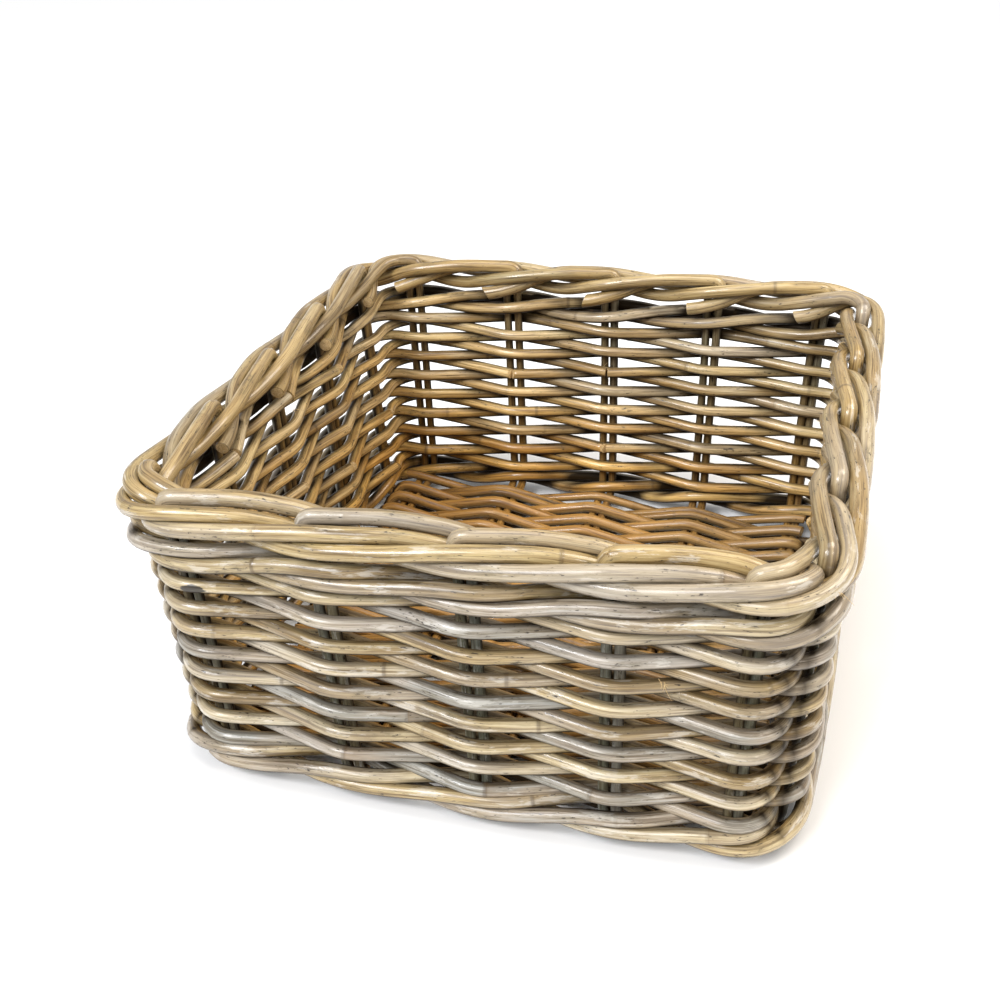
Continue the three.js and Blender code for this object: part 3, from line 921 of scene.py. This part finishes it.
for prefix, first_side, level, over_level, sways in (
    ("cross_stake", 3, CROSS_STAKE_LEVEL, CROSS_STAKE_LEVEL, 0),
    ("side_stake", 0, SIDE_STAKE_LEVEL, SIDE_STAKE_OVER, 1),
):
    for number in range(1, 2 * PAIRS_PER_SIDE + 1):
        pair = (number - 1) // 2 - LAST_PAIR
        offset = HALF_PAIR if number % 2 == 0 else -HALF_PAIR
        near_pair = PAIRS_PER_SIDE * first_side + pair
        far_pair = PAIRS_PER_SIDE * ((first_side + 2) % 4) - pair
        path = stake_path(near_pair, far_pair, offset, level, over_level)
        sway = STAKE_SWAY * slow_noise(lengths_along(path), STAKE_SWAY_WAVE)
        path[:, sways] += sway * np.clip(path[:, 2] / SWAY_FREE, 0, 1)
        thickness = STAKE_DIAMETER * dice.uniform(*STAKE_THICKNESSES)
        plan = cane(path, thickness, STAKE_MESH_STEP, dice.uniform(0.02, 0.98))
        name = f"{prefix}_{number}"
        piece(f"{name}_cane", [plan], STAKE_SIDES, stake_rattan, name)
print("Stakes:", len(pieces))

# %% [markdown]
# ## The wall
#
# Two strands chase each other round, one on top of the other. Each goes in front of a pair of
# stakes and behind the next, and where one is in front the other is behind, so the outside shows
# strands laid like bricks. The path of one is a zigzag, out and in, which is then rounded. After
# each round it climbs one row, in the last space before it would meet its own start.

# %% The path of a strand
WEAVER_DIAMETER = 7.6
SWING = 9.6  # how far a strand would stand out at a pair of stakes if it bent sharply there
STROKE_LIFT = 0.5  # a strand comes out of the wall a little high and goes in a little low
STROKE_BEND = 10.0  # the bend at a pair reaches this far to each side of its middle
BULGE_PAIR, BULGE_ROUND, BULGE_OUT = 19.0, 2, 12.0  # one loose strand on the right wall
BULGE_REACH, BULGE_ROUNDNESS = 0.95, 0.7
PATH_STEP = 0.02  # in pairs
STRAND_WANDER = (0.6, 55, 0.0022, 50)  # up and down, its wave, in and out as a share, its wave


def wandering(path, rise, rise_wave, sway=0, sway_wave=0):
    """The path with a little slow chance up and down, and in and out."""
    run = lengths_along(path)
    path[:, 2] += rise * slow_noise(run, rise_wave)
    if sway:
        path[:, :2] *= (1 + sway * slow_noise(run, sway_wave))[:, None]
    return path


def strand_path(start, stop, first):
    along = np.linspace(start, stop, int((stop - start) / PATH_STEP) + 2)
    turn = np.floor(along / PAIRS)
    climb = np.maximum(along - turn * PAIRS - (PAIRS - 1), 0)
    phase = math.pi * (along - first)
    zigzag = 2 * np.abs((along - first) / 2 - np.round((along - first) / 2))
    out = SWING * (2 * zigzag - 1)
    loose = np.abs(along - BULGE_ROUND * PAIRS - BULGE_PAIR)
    if first == 1:
        out = out + BULGE_OUT * np.clip(1 - loose / BULGE_REACH, 0, 1) ** BULGE_ROUNDNESS
    z = FIELD_FOOT + STRAND_STEP * (first + 0.5) + ROW_STEP * (turn + climb)
    z = z + STROKE_LIFT * np.sin(phase)
    return wandering(rounded(wall_place(along, out, z), STROKE_BEND), *STRAND_WANDER)


print("One stroke at the foot is", round(2 * pair_pitch(FIELD_FOOT), 1), "mm long")

# %% [markdown]
# A real cane is only a few metres long: when it runs out, a new one starts behind the same pair. So
# a weaver of the CAD part is several canes here, end to end. Neighbours differ in colour, so tones
# are dealt from the whole range in a shuffled order.

# %% Weave the wall
WALL_SIDES = 16
WALL_MESH_STEP = 4.0
STRAND_THICKNESSES = (0.97, 1.13)
STRAND_CUT_LEAN = 0.6  # how far a cut end may lean, in cane radii
BUTT_SHARE = 0.021  # half of the gap where two weavers meet, in pairs
JOINT_SHARE = 0.012
ROUNDS_PER_WEAVER = 2
FIELD_END = PAIRS * FIELD_ROWS
SHORTEST, LONGEST = 7, 12  # pairs that one cane passes
LAST_CANE = 13  # a rest of up to this many pairs is one cane


def dealt_tones(count):
    return dice.permutation((np.arange(count) + dice.uniform(0.1, 0.9, count)) / count)


for first, letter in enumerate("ab"):
    for weaver in range(FIELD_ROWS // ROUNDS_PER_WEAVER):
        begin = first + weaver * PAIRS * ROUNDS_PER_WEAVER
        end = min(begin + PAIRS * ROUNDS_PER_WEAVER, first + FIELD_END - 2)
        joints = [begin]
        while end - joints[-1] > LAST_CANE:
            length = dice.uniform(SHORTEST, LONGEST)
            joints.append(begin + 2 * round((joints[-1] - begin + length) / 2))
        joints.append(end)
        canes = []
        for i, tone in enumerate(dealt_tones(len(joints) - 1)):
            start = joints[i] + (JOINT_SHARE if i else BUTT_SHARE)
            stop = joints[i + 1] - (JOINT_SHARE if joints[i + 1] < end else BUTT_SHARE)
            thickness = WEAVER_DIAMETER * dice.uniform(*STRAND_THICKNESSES)
            path = strand_path(start, stop, first)
            slants = dice.uniform(-STRAND_CUT_LEAN, STRAND_CUT_LEAN, 2)
            canes.append(cane(path, thickness, WALL_MESH_STEP, tone, slants))
        name = f"wall_weaver_{letter}{weaver + 1}"
        piece(f"{name}_canes", canes, WALL_SIDES, weaver_rattan, name)
print("Wall weavers done, pieces:", len(pieces))

# %% [markdown]
# ## The two wales
#
# A wale is woven with three rods. Each goes in front of two pairs and behind one, comes out below
# the others and goes in above them, so the outside shows long, level rods two high. The lower
# wale locks the corner between the wall and the floor, and the upper one holds the weave down.
# These rods are stiff, so their bends are long: the path is rounded over 14 mm to each side. At the
# front both wales were packed up against the field; at the back they lie a little lower.

# %% The path of a rod in a wale
WALE_DIAMETER = 7.8
WALE_BEHIND_RISE = 1.4
WALE_DIP = 0.6  # a rod comes out of the wall this much lower than it then lies
WALE_RODS = 3
WALE_BEND = 14.0
WALE_NESTLE = 1.6  # a wale's rods rise into the hollows under the strands that pass even pairs
WALE_AT = np.array([0, 0.45, 0.85, 1.2, 1.8, 2.2, 2.6, 3])
WALE_OUTS = np.array([-9.0, -0.5, 9.8, 11.0, 11.0, 9.8, 0.5, -9.0])
WALE_WANDER = (0.35, 70, 0.0018, 60)


def wale_path(start, stop, rod, foot, behind_rise, lift):
    low = foot + WALE_STEP / 2
    high = low + WALE_STEP
    behind = (low + high) / 2 + behind_rise
    into = max(high, behind)
    levels = np.array([behind, low - WALE_DIP, low, low, high, high, into, behind])
    along = np.linspace(start, stop, int((stop - start) / PATH_STEP) + 2)
    at = (along - rod) % WALE_RODS
    towards_front = -np.sin(2 * math.pi * along / PAIRS)
    z = np.interp(at, WALE_AT, levels) + WALE_NESTLE * 0.5 * (np.cos(math.pi * along) + 1)
    z += np.interp(at, WALE_AT, np.where(WALE_OUTS > 0, lift, 0.5 * lift)) * towards_front
    line = wall_place(along, np.interp(at, WALE_AT, WALE_OUTS), z)
    return wandering(rounded(line, WALE_BEND), *WALE_WANDER)


# %% [markdown]
# Each rod starts behind a pair of its own. Twenty pairs don't divide by three, so after a round it
# ends behind the pair where another rod started, and the wale closes without a gap. One cane isn't
# long enough for that, so a rod is two of them, which meet behind a pair about half way round.

# %% Weave the wales
WALE_ENDS = (PAIRS + 1, PAIRS + 2, PAIRS)
WALE_THICKNESSES = (1.02, 1.13)
WALE_CUT_LEAN = 0.5

for prefix, foot, rise, lift in (
    ("lower_wale_rod", WALE_FOOT, WALE_BEHIND_RISE + WALE_STEP / 2, 2.2),
    ("top_wale_rod", TOP_WALE_FOOT, 0, 1.2),
):
    for rod in range(WALE_RODS):
        start = rod + BUTT_SHARE
        stop = WALE_ENDS[rod] - BUTT_SHARE
        middle = rod + WALE_RODS * round((PAIRS / 2 + dice.uniform(-3, 3)) / WALE_RODS)
        canes = []
        for begin, finish in ((start, middle - JOINT_SHARE), (middle + JOINT_SHARE, stop)):
            thickness = WALE_DIAMETER * dice.uniform(*WALE_THICKNESSES)
            path = wale_path(begin, finish, rod, foot, rise, lift)
            tone = dice.uniform(0, 1)
            slants = dice.uniform(-WALE_CUT_LEAN, WALE_CUT_LEAN, 2)
            canes.append(cane(path, thickness, WALL_MESH_STEP, tone, slants))
        name = f"{prefix}_{rod + 1}"
        piece(f"{name}_canes", canes, WALL_SIDES, weaver_rattan, name)
print("Wales done, pieces:", len(pieces))

# %% [markdown]
# ## The rolled border
#
# At each pair a thick rod starts with a knuckle: it comes up between the others and bends over
# sharply. It rolls inside the next pair, comes out low, climbs outside past two pairs, dives in
# under a later knuckle, and ends inside with a cut face. Twenty rods doing the same thing, one
# pair apart, make the rim. The bend of the knuckle is much tighter than the others, so the path is
# rounded twice, with a short reach and a long one, and changes from the first to the second.

# %% The path of a border rod
BORDER_DIAMETER = 9.6
BORDER_SPACING = 9.7
BORDER_ROUTE = np.array([  # along in pairs, out and up in border spacings
    (-0.06, 0.0, 0.9), (-0.06, 0.0, 2.1), (-0.02, 0.0, 2.33),
    (0.5, -0.78, 2.42), (1.0, -1.16, 1.9), (1.5, 0.0, 0.7),
    (2.0, 1.22, 1.02), (2.5, 1.22, 1.45), (3.0, 1.02, 2.0),
    (3.6, 0.25, 2.0), (4.0, -1.05, 0.75), (4.22, -1.19, 0.5),
])
LEG_STEPS = 12
KNUCKLE_REACH = 4.5
ROLL_REACH = 15.0
KNUCKLE_LENGTH = 22.0
KNUCKLE_FADE = 20.0
BORDER_WANDER = (0.5, 60)


def border_path(start):
    legs = []
    for leg_start, leg_end in zip(BORDER_ROUTE[:-1], BORDER_ROUTE[1:]):
        share = np.linspace(0, 1, LEG_STEPS, endpoint=False)[:, None]
        legs.append(leg_start + (leg_end - leg_start) * share)
    along, out, up = np.concatenate(legs + [BORDER_ROUTE[-1:]]).T
    line = wall_place(along + start, out * BORDER_SPACING, BORDER_FOOT + up * BORDER_SPACING)
    knuckle = rounded(line, KNUCKLE_REACH)
    rolled = rounded(line, ROLL_REACH)
    knuckle = resampled(knuckle, lengths_along(knuckle)[-1] / (len(rolled) - 1))[:len(rolled)]
    share = np.clip((lengths_along(rolled) - KNUCKLE_LENGTH) / KNUCKLE_FADE, 0, 1)[:, None]
    return wandering(knuckle * (1 - share) + rolled * share, *BORDER_WANDER)


# %% [markdown]
# Each rod has its own thickness and tone, as no two were cut from the same cane. The bends are
# tight, so its mesh is finer than that of the other canes. Its start is hidden in the rim, and only
# the end that shows inside gets a slanted cut.

# %% Roll the border
BORDER_SIDES = 20
BORDER_MESH_STEP = 2.6
BORDER_THICKNESSES = (0.86, 1.0)
BORDER_CUT_LEAN = 0.7

for number, tone in enumerate(dealt_tones(PAIRS), 1):
    thickness = BORDER_DIAMETER * dice.uniform(*BORDER_THICKNESSES)
    path = border_path(number - 1 - LAST_PAIR)
    slants = (0.0, dice.uniform(-BORDER_CUT_LEAN, BORDER_CUT_LEAN))
    plan = cane(path, thickness, BORDER_MESH_STEP, tone, slants)
    name = f"border_rod_{number}"
    piece(f"{name}_cane", [plan], BORDER_SIDES, border_rattan, name)
print("Border done, pieces:", len(pieces))

# %% [markdown]
# ## The floor
#
# The floor canes run from left to right, over and under the pairs that run from front to back.
# Each pass lies close to the next one, so a cane is pushed aside a little wherever its neighbour
# crosses the same pair, which gives the floor its wavy rows. In each space between two pairs of
# side stakes one long cane goes to and fro and turns round the outermost cross stakes.

# %% The path of a floor cane
FLOOR_DIAMETER = 7.8
FLOOR_UNDER = 2.91  # heights of its middle line, under a pair and over one
FLOOR_OVER = 17.65
FLOOR_PASSES = 7
SHOULDER_SHARE = 0.42
TURN_ROOM = 1.1
FLOOR_STUB = 1.5
SEAT_GAP = 0.3
FLOOR_WANDER = 1.1
FLOOR_BEND = 5.0
floor_pitch = pair_pitch(CROSS_STAKE_LEVEL)
bay = floor_pitch - 2 * (HALF_PAIR + STAKE_DIAMETER / 2)
outer = LAST_PAIR * floor_pitch + HALF_PAIR
outer_face = outer + STAKE_DIAMETER / 2
turn_reach = STAKE_DIAMETER / 2 + FLOOR_DIAMETER / 2 + SEAT_GAP


def floor_turn(travel, lane, following, level):
    """Three places of a cane that turns round the outer stake into its next lane."""
    shoulder = travel * (outer + SHOULDER_SHARE * turn_reach)
    return [
        (shoulder, lane, level),
        (travel * (outer + turn_reach + TURN_ROOM), (lane + following) / 2, CROSS_STAKE_LEVEL),
        (shoulder, following, FLOOR_OVER + FLOOR_UNDER - level),
    ]


def floor_path(centre):
    line = []
    for run in range(FLOOR_PASSES):
        lane = centre + ((run + 0.5) / FLOOR_PASSES - 0.5) * bay
        travel = 1 if run % 2 == 0 else -1
        for i in range(PAIRS_PER_SIDE):
            pair = travel * (i - LAST_PAIR)
            over = (pair + run) % 2 == 0
            level = FLOOR_OVER if over else FLOOR_UNDER
            aside = FLOOR_WANDER if over else -FLOOR_WANDER
            if not line:
                line.append((-outer_face - FLOOR_STUB, lane, level))
            line.append((pair * floor_pitch, lane + aside, level))
        if run < FLOOR_PASSES - 1:
            line += floor_turn(travel, lane, lane + bay / FLOOR_PASSES, level)
    line.append((travel * (outer_face + FLOOR_STUB), lane, level))
    return rounded(np.array(line), FLOOR_BEND)


print("A floor cane is", round(lengths_along(floor_path(0))[-1]), "mm long")

# %% [markdown]
# Between the outermost side stakes and the front and back walls there is room for one thinner cane
# each. It belongs to the piece of its neighbour.

# %% Weave the floor
FLOOR_SIDES = 14
FLOOR_MESH_STEP = 4.0
FLOOR_TONES = (0.2, 0.8)
EDGE_LANE = 153.5
EDGE_OVER = 16.9
EDGE_STUB = 5.0
EDGE_DIAMETER = 6.6
FLOOR_SWAY, FLOOR_SWAY_WAVE = 0.5, 60


def edge_path(side):
    lane = side * EDGE_LANE
    line = [(-outer - EDGE_STUB, lane, EDGE_OVER)]
    for pair in np.arange(-LAST_PAIR, LAST_PAIR + 1):
        line.append((pair * floor_pitch, lane, EDGE_OVER if pair % 2 == 0 else FLOOR_UNDER))
    line.append((outer + EDGE_STUB, lane, EDGE_OVER))
    return rounded(np.array(line), FLOOR_BEND)


for weaver in range(PAIRS_PER_SIDE - 1):
    path = floor_path((weaver + 0.5 - LAST_PAIR) * floor_pitch)
    path[:, 1] += FLOOR_SWAY * slow_noise(lengths_along(path), FLOOR_SWAY_WAVE)
    canes = [cane(path, FLOOR_DIAMETER, FLOOR_MESH_STEP, dice.uniform(*FLOOR_TONES))]
    if weaver in (0, PAIRS_PER_SIDE - 2):
        side = -1 if weaver == 0 else 1
        tone = dice.uniform(*FLOOR_TONES)
        canes.append(cane(edge_path(side), EDGE_DIAMETER, FLOOR_MESH_STEP, tone))
    name = f"floor_weaver_{weaver + 1}"
    piece(f"{name}_canes", canes, FLOOR_SIDES, floor_rattan, name)
print("Floor done, pieces:", len(pieces))

# %% [markdown]
# ## Frayed fibres
#
# Where a cane was bent too sharply its skin splits, and a few hair-thin fibres stand up from it.
# They catch the light, so they show from a step away, and they are as good a sign of handwork as
# any. Each is a bent hair that starts inside its cane and tapers to the tip.

# %% Let a few fibres stand up
FIBRE_SIDES = 6
FIBRE_DIAMETER = 0.36
FIBRE_WORN = 0.00004  # metres
FIBRE_MESH_STEP = 1.2
FIBRE_POINTS = 9
FIBRE_LENGTHS = (2.5, 6)
FIBRE_SPREAD = 0.55
FIBRE_CURL = 0.5
FIBRES_PER_TUFT = 6
TUFT_SIZE = 1.6
TIP_SHARE = 0.3  # of the thickness at the root
TUFTS = (  # where the skin has split, and which way the fibres point
    ((81.0, -181.5, 186.5), (0.3, -0.5, 0.9)),
    ((182.5, -173.0, 179.0), (0.6, -0.6, -0.4)),
    ((108.0, -186.0, 121.0), (0.2, -0.9, -0.5)),
    ((3.0, 165.5, 118.0), (0.1, -0.9, 0.3)),
    ((-166.5, 0.6, 147.5), (0.9, -0.2, -0.3)),
    ((159.6, 156.5, 96.5), (-0.6, -0.6, 0.1)),
)
hairs = []
for root, away in TUFTS:
    for _ in range(FIBRES_PER_TUFT):
        heading = np.array(away) + dice.uniform(-FIBRE_SPREAD, FIBRE_SPREAD, 3)
        curl = dice.uniform(-FIBRE_CURL, FIBRE_CURL, 3)
        share = np.linspace(0, 1, FIBRE_POINTS)[:, None]
        start = np.array(root) + dice.uniform(-TUFT_SIZE, TUFT_SIZE, 3)
        line = start + dice.uniform(*FIBRE_LENGTHS) * (share * heading + share ** 2 * curl)
        hair = cane(line, FIBRE_DIAMETER, FIBRE_MESH_STEP, 0.5, (0.0, 0.0))
        hair["radius"] = hair["radius"] * np.linspace(1, TIP_SHARE, len(hair["at"]))
        hairs.append(hair)
piece("frayed_fibres", hairs, FIBRE_SIDES, cut_rattan, worn=FIBRE_WORN)
print("Fibres:", len(hairs))

# %% [markdown]
# ## Camera, floor and light
#
# The camera stands where the photograph was taken: in front of the basket, a little to the right,
# and looks down at 30 degrees. Its place, its three angles and its lens were found together, from
# the outline of the basket and the places of its stakes. A look-at constraint would be quicker, but
# it can't give the slight roll.

# %% Camera at the photograph's viewing angle
CAMERA_PLACE = (186.7, -673.9, 514.1)
CAMERA_YAW = -17.77
CAMERA_PITCH = 30.49
CAMERA_ROLL = -2.44
CAMERA_LENS = 46.35
CAMERA_SENSOR = 36  # millimetres wide
yaw, down, roll = (math.radians(angle) for angle in (CAMERA_YAW, CAMERA_PITCH, CAMERA_ROLL))
forward = Vector((math.sin(yaw) * math.cos(down), math.cos(yaw) * math.cos(down), -math.sin(down)))
level_right = Vector((math.cos(yaw), -math.sin(yaw), 0))
level_up = level_right.cross(forward)
camera_right = level_right * math.cos(roll) + level_up * math.sin(roll)
camera_up = level_up * math.cos(roll) - level_right * math.sin(roll)
camera_data = bpy.data.cameras.new("camera")
camera_data.lens = CAMERA_LENS
camera_data.sensor_width = CAMERA_SENSOR
camera_data.sensor_fit = "HORIZONTAL"
camera = bpy.data.objects.new("camera", camera_data)
bpy.context.scene.collection.objects.link(camera)
turned = Matrix((camera_right, camera_up, -forward)).transposed().to_4x4()
turned.translation = [value * METRES for value in CAMERA_PLACE]
camera.matrix_world = turned
bpy.context.scene.camera = camera
print("Camera looks along", [round(value, 3) for value in forward])

# %% [markdown]
# The basket stands on white paper. One large plane is enough, as nothing of it is seen but white
# and a soft shadow.

# %% Pale floor
PAPER_SIZE, PAPER_PLACE = 8, (0, 1.5, 0)  # metres
PAPER_WHITE, PAPER_ROUGHNESS = "fbfbfb", 0.9
bpy.ops.mesh.primitive_plane_add(size=PAPER_SIZE, location=PAPER_PLACE)
ground = bpy.context.object
ground.name = "pale_floor"
paper = blank_material("matt_white_paper")
links = {"Base Color": colour(PAPER_WHITE), "Roughness": PAPER_ROUGHNESS}
shader = node(paper.node_tree, "ShaderNodeBsdfPrincipled", links=links)
node(paper.node_tree, "ShaderNodeOutputMaterial", links={"Surface": shader.outputs["BSDF"]})
ground.data.materials.append(paper)
print("Floor of", ground.dimensions.x, "m")

# %% [markdown]
# Daylight from a large window at the front left does most of the work. It is a sun with a wide
# angle: its shadows are soft, and it lights the paper evenly up to the horizon, which no lamp near
# the basket could. Four discs closer by give the long highlights on the lacquer and open the
# inside, and an even white surround keeps the shadows from going black.

# %% Soft studio light
SURROUND_STRENGTH = 0.57
LIGHT_AIM = (0.0, 0.0, 0.1)
LIGHTS = (  # name, kind, place, size in metres or angle for a sun, power and tint
    ("window_light", "SUN", (-0.55, -1.0, 1.15), math.radians(28), 2.1, "ffffff"),
    ("overhead_light", "AREA", (0.0, -0.1, 1.5), 0.8, 6, "ffffff"),
    ("left_light", "AREA", (-0.7, -0.9, 1.1), 0.3, 5, "f4f7ff"),
    ("right_light", "AREA", (1.1, -0.7, 1.0), 0.3, 4, "fff4e4"),
    ("fill_light", "AREA", (0.6, 0.1, 0.9), 0.5, 6, "fff4e6"),
)
world = bpy.context.scene.world or bpy.data.worlds.new("studio")
bpy.context.scene.world = world
world.use_nodes = True
surround = world.node_tree.nodes["Background"].inputs
surround["Color"].default_value = colour("ffffff")
surround["Strength"].default_value = SURROUND_STRENGTH
for name, kind, place, size, power, tint in LIGHTS:
    data = bpy.data.lights.new(name, kind)
    if kind == "SUN":
        data.angle = size
    else:
        data.shape = "DISK"
        data.size = size
    data.energy = power
    data.color = colour(tint)[:3]
    light = bpy.data.objects.new(name, data)
    bpy.context.scene.collection.objects.link(light)
    turn = (Vector(LIGHT_AIM) - Vector(place)).to_track_quat("-Z", "Y")
    light.matrix_world = Matrix.Translation(place) @ turn.to_matrix().to_4x4()
bpy.context.scene.view_settings.view_transform = "Standard"
print("Lights:", len(LIGHTS))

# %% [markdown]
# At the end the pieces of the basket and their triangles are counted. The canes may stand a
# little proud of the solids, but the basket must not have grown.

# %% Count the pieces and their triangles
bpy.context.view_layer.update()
triangles = sum(len(face.vertices) - 2 for obj in pieces for face in obj.data.polygons)
print("Pieces:", len(pieces), "triangles:", triangles)
